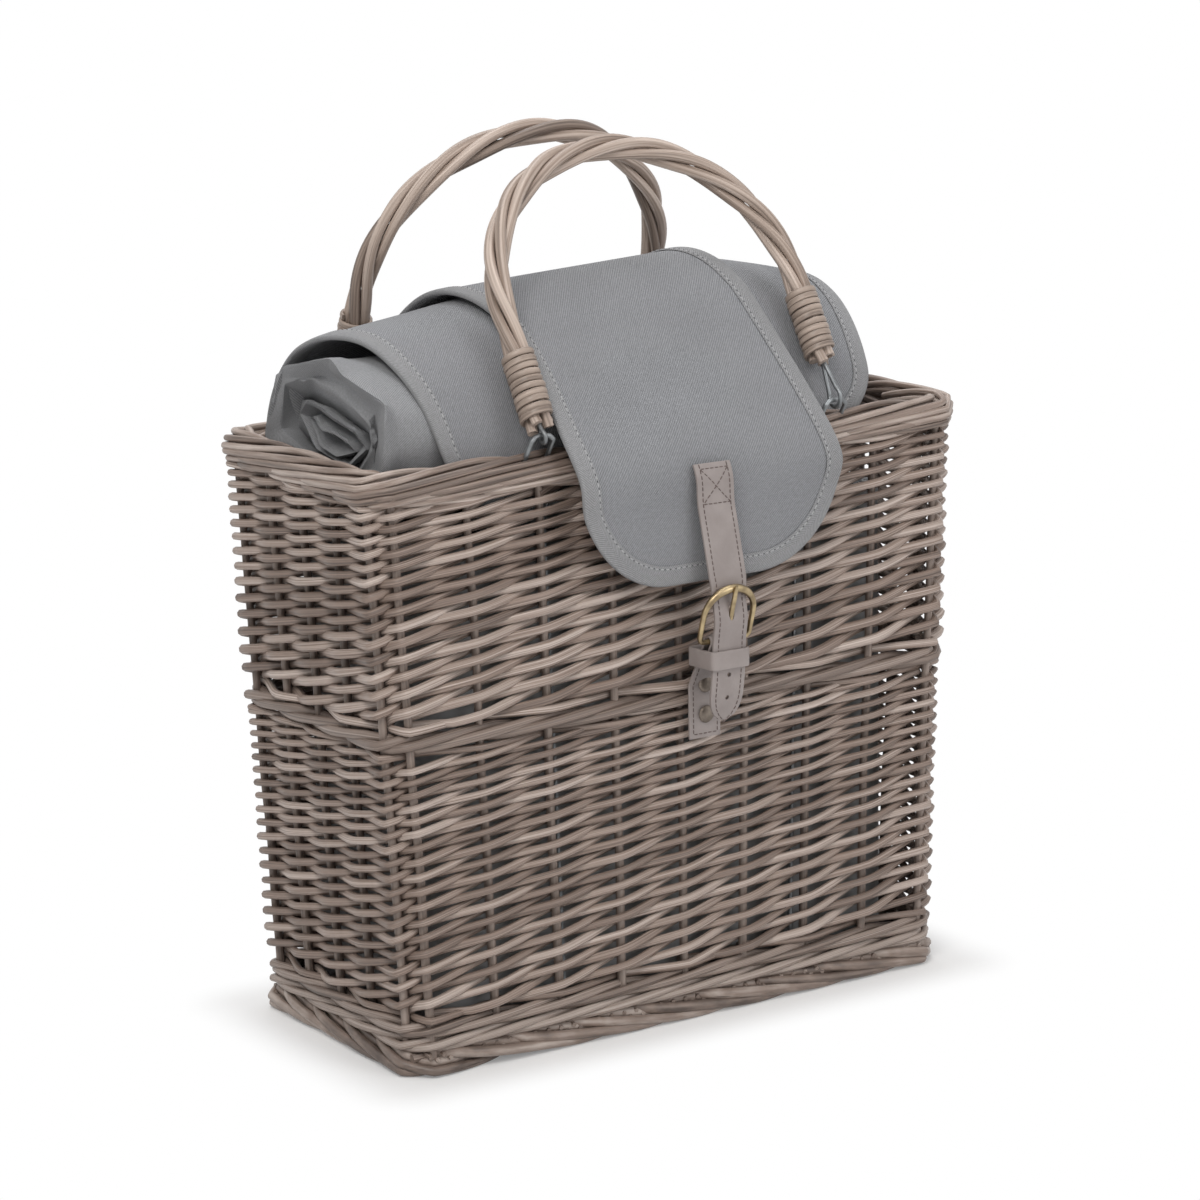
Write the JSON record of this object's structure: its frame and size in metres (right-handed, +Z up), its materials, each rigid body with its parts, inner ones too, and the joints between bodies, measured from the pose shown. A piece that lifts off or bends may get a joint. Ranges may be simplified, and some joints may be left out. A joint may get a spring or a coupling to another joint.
{
  "type": "chiller basket",
  "caption": "Rectangular willow basket with an insulated bag inside, a buckled cloth flap over its rolled neck and twisted willow handles that swing.",
  "frame": {"origin": "on the floor under the middle of the whole box", "axes": "+Z up, front with the buckle towards -Y, +X to the right seen from the front"},
  "size_m": [0.4268, 0.2269, 0.527],
  "materials": {
    "willow": "grey-brown antique wash, satin",
    "dark_willow": "grey-brown antique wash, darker, satin",
    "split_willow": "split willow, dull",
    "grey_cloth": "fine coated twill, matte",
    "grey_tape": "herringbone binding tape, matte",
    "foil": "silvered film, satin",
    "taupe_leather": "grey-taupe leathercloth, satin",
    "aged_brass": "aged brass, dulled",
    "zinc_wire": "zinc-plated wire, dulled"
  },
  "bodies": {
    "basket": {"base_panel": "dark_willow", "foot_border": "willow", "bottom_wale": "dark_willow", "lower_weave": "willow", "middle_wale": "dark_willow", "upper_weave": "willow", "rim_border": "willow", "cooler_shell": "grey_cloth", "cooler_lining": "foil", "rolled_neck": "grey_cloth", "lid_cover": "grey_cloth", "lid_cover_binding": "grey_tape", "flap_top": "grey_cloth", "flap_top_binding_left": "grey_tape", "flap_top_binding_right": "grey_tape", "chape": "taupe_leather", "keeper": "taupe_leather", "rivet_lower": "aged_brass", "rivet_upper": "aged_brass", "burr_lower": "aged_brass", "burr_upper": "aged_brass", "front_left_anchor": "zinc_wire", "front_right_anchor": "zinc_wire", "rear_left_anchor": "zinc_wire", "rear_right_anchor": "zinc_wire"},
    "front_handle": {"front_handle_rod_1": "willow", "front_handle_rod_2": "willow", "front_handle_rod_3": "willow", "front_handle_rod_4": "willow", "front_handle_whipping_left": "split_willow", "front_handle_whipping_right": "split_willow", "front_handle_eye_left": "zinc_wire", "front_handle_eye_right": "zinc_wire"},
    "rear_handle": {"rear_handle_rod_1": "willow", "rear_handle_rod_2": "willow", "rear_handle_rod_3": "willow", "rear_handle_rod_4": "willow", "rear_handle_whipping_left": "split_willow", "rear_handle_whipping_right": "split_willow", "rear_handle_eye_left": "zinc_wire", "rear_handle_eye_right": "zinc_wire"},
    "flap": {"flap_front": "grey_cloth", "flap_front_binding": "grey_tape", "strap": "taupe_leather"},
    "buckle": {"buckle_frame": "aged_brass"},
    "prong": {"buckle_prong": "aged_brass"}
  },
  "joints": [
    {"name": "front_handle_swing", "type": "hinge", "parent": "basket", "child": "front_handle", "pos_m": [0.006, -0.07725, 0.3613], "axis": [1, 0, 0], "range_deg": [0, 115]},
    {"name": "rear_handle_swing", "type": "hinge", "parent": "basket", "child": "rear_handle", "pos_m": [-0.018, 0.10875, 0.3613], "axis": [-1, 0, 0], "range_deg": [0, 108]},
    {"name": "flap_lift", "type": "hinge", "parent": "basket", "child": "flap", "pos_m": [0.01, -0.04118, 0.41174], "axis": [-1, 0, 0], "range_deg": [0, 120], "deforming": ["strap"]},
    {"name": "buckle_tilt", "type": "hinge", "parent": "basket", "child": "buckle", "pos_m": [0.01, -0.0995, 0.234], "axis": [1, 0, 0], "range_deg": [0, 30]},
    {"name": "prong_lift", "type": "hinge", "parent": "buckle", "child": "prong", "pos_m": [0.01, -0.0995, 0.234], "axis": [1, 0, 0], "range_deg": [0, 45]}
  ]
}
